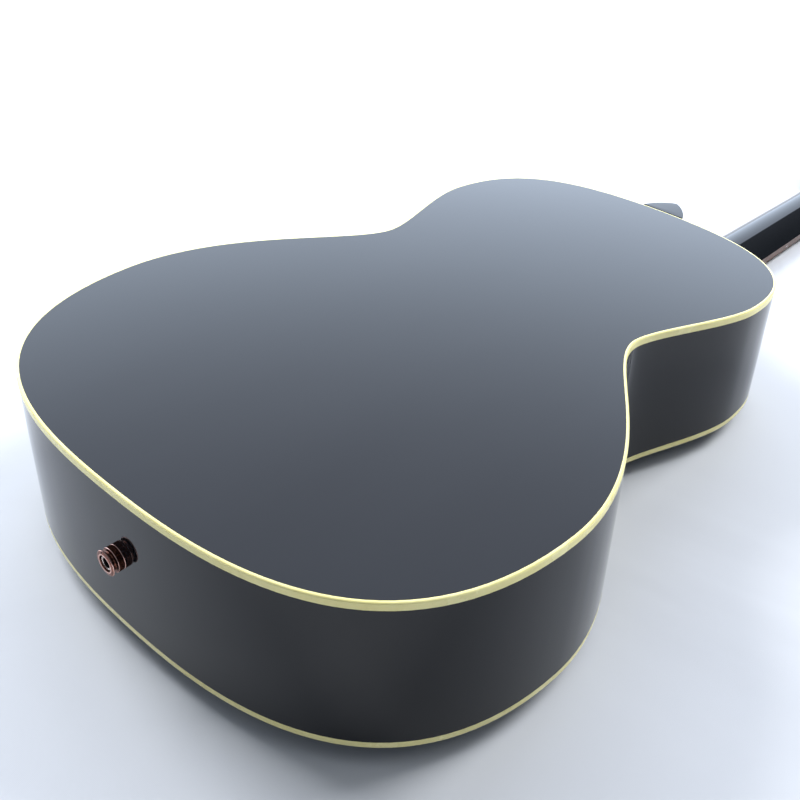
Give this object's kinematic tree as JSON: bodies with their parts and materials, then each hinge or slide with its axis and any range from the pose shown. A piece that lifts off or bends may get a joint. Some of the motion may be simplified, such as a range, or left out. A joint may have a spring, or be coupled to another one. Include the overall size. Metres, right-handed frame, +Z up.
{
  "type": "acoustic guitar",
  "caption": "Small-bodied steel-string acoustic guitar in gloss black with cream binding, lying face down, with a strap-button jack in its tail.",
  "frame": {"origin": "bottom centre of the whole guitar's box, on the surface it lies on", "axes": "+Y from the tail to the headstock, +Z up through the back, +X to the sixth-string side; the guitar lies face down"},
  "size_m": [0.381, 1.0534, 0.123],
  "materials": {
    "black_lacquer": "gloss black lacquer",
    "cream_binding": "aged cream plastic",
    "mahogany": "bare, sanded",
    "spruce": "bare, sanded",
    "rosewood": "oiled",
    "bone": "polished",
    "tortoiseshell": "gloss",
    "antique_copper": "antiqued",
    "nickel": "nickel plate",
    "steel": "plain wire",
    "bronze": "phosphor bronze winding",
    "button_plastic": "aged ivory plastic"
  },
  "bodies": {
    "guitar": {"back_plate": "black_lacquer", "top_plate": "black_lacquer", "side_bass": "black_lacquer", "side_treble": "black_lacquer", "back_binding": "cream_binding", "top_binding": "cream_binding", "back_lining": "mahogany", "top_lining": "mahogany", "neck_block": "mahogany", "tail_block": "mahogany", "x_brace_bass": "spruce", "x_brace_treble": "spruce", "upper_transverse_brace": "spruce", "tone_bar_upper": "spruce", "tone_bar_lower": "spruce", "bridge_plate": "spruce", "back_brace_1": "spruce", "back_brace_2": "spruce", "back_brace_3": "spruce", "back_brace_4": "spruce", "bridge": "rosewood", "saddle": "bone", "pickguard": "tortoiseshell", "endpin_jack": "nickel", "strap_ring": "antique_copper", "jack_nut": "nickel", "neck": "black_lacquer", "heel_cap": "black_lacquer", "fretboard": "rosewood", "nut": "bone", "truss_rod": "steel", "truss_rod_cover": "black_lacquer", "tuner_plate_bass": "nickel", "tuner_plate_treble": "nickel", "bridge_pin_1": "bone", "string_1": "steel", "bridge_pin_2": "bone", "string_2": "steel", "bridge_pin_3": "bone", "string_3": "bronze", "bridge_pin_4": "bone", "string_4": "bronze", "bridge_pin_5": "bone", "string_5": "bronze", "bridge_pin_6": "bone", "string_6": "bronze"},
    "button_1": {"tuner_button_1": "button_plastic"},
    "post_1": {"tuner_post_1": "nickel"},
    "button_2": {"tuner_button_2": "button_plastic"},
    "post_2": {"tuner_post_2": "nickel"},
    "button_3": {"tuner_button_3": "button_plastic"},
    "post_3": {"tuner_post_3": "nickel"},
    "button_4": {"tuner_button_4": "button_plastic"},
    "post_4": {"tuner_post_4": "nickel"},
    "button_5": {"tuner_button_5": "button_plastic"},
    "post_5": {"tuner_post_5": "nickel"},
    "button_6": {"tuner_button_6": "button_plastic"},
    "post_6": {"tuner_post_6": "nickel"},
    "truss_rod_nut_body": {"truss_rod_nut": "nickel"}
  },
  "joints": [
    {"name": "button_1_spin", "type": "hinge", "parent": "guitar", "child": "button_1", "pos_m": [-0.024, 0.39919, 0.04179], "axis": [-1, 0, 0], "continuous": true},
    {"name": "post_1_spin", "type": "hinge", "parent": "guitar", "child": "post_1", "pos_m": [-0.024, 0.39636, 0.02083], "axis": [0, -0.2361, 0.9717], "continuous": true},
    {"name": "button_2_spin", "type": "hinge", "parent": "guitar", "child": "button_2", "pos_m": [-0.0255, 0.43806, 0.05124], "axis": [-1, 0, 0], "continuous": true},
    {"name": "post_2_spin", "type": "hinge", "parent": "guitar", "child": "post_2", "pos_m": [-0.0255, 0.43522, 0.03028], "axis": [0, -0.2361, 0.9717], "continuous": true},
    {"name": "button_3_spin", "type": "hinge", "parent": "guitar", "child": "button_3", "pos_m": [-0.027, 0.47692, 0.06068], "axis": [-1, 0, 0], "continuous": true},
    {"name": "post_3_spin", "type": "hinge", "parent": "guitar", "child": "post_3", "pos_m": [-0.027, 0.47409, 0.03972], "axis": [0, -0.2361, 0.9717], "continuous": true},
    {"name": "button_4_spin", "type": "hinge", "parent": "guitar", "child": "button_4", "pos_m": [0.027, 0.47692, 0.06068], "axis": [1, 0, 0], "continuous": true},
    {"name": "post_4_spin", "type": "hinge", "parent": "guitar", "child": "post_4", "pos_m": [0.027, 0.47409, 0.03972], "axis": [0, -0.2361, 0.9717], "continuous": true},
    {"name": "button_5_spin", "type": "hinge", "parent": "guitar", "child": "button_5", "pos_m": [0.0255, 0.43806, 0.05124], "axis": [1, 0, 0], "continuous": true},
    {"name": "post_5_spin", "type": "hinge", "parent": "guitar", "child": "post_5", "pos_m": [0.0255, 0.43522, 0.03028], "axis": [0, -0.2361, 0.9717], "continuous": true},
    {"name": "button_6_spin", "type": "hinge", "parent": "guitar", "child": "button_6", "pos_m": [0.024, 0.39919, 0.04179], "axis": [1, 0, 0], "continuous": true},
    {"name": "post_6_spin", "type": "hinge", "parent": "guitar", "child": "post_6", "pos_m": [0.024, 0.39636, 0.02083], "axis": [0, -0.2361, 0.9717], "continuous": true},
    {"name": "truss_rod_turn", "type": "hinge", "parent": "guitar", "child": "truss_rod_nut_body", "pos_m": [0, 0.35871, 0.01873], "axis": [0, 1, -0.006], "range_deg": [-90, 90]}
  ],
  "couplings": [
    {"joint": "post_1_spin", "follows": "button_1_spin", "ratio": -0.071429},
    {"joint": "post_2_spin", "follows": "button_2_spin", "ratio": -0.071429},
    {"joint": "post_3_spin", "follows": "button_3_spin", "ratio": -0.071429},
    {"joint": "post_4_spin", "follows": "button_4_spin", "ratio": 0.071429},
    {"joint": "post_5_spin", "follows": "button_5_spin", "ratio": 0.071429},
    {"joint": "post_6_spin", "follows": "button_6_spin", "ratio": 0.071429}
  ]
}
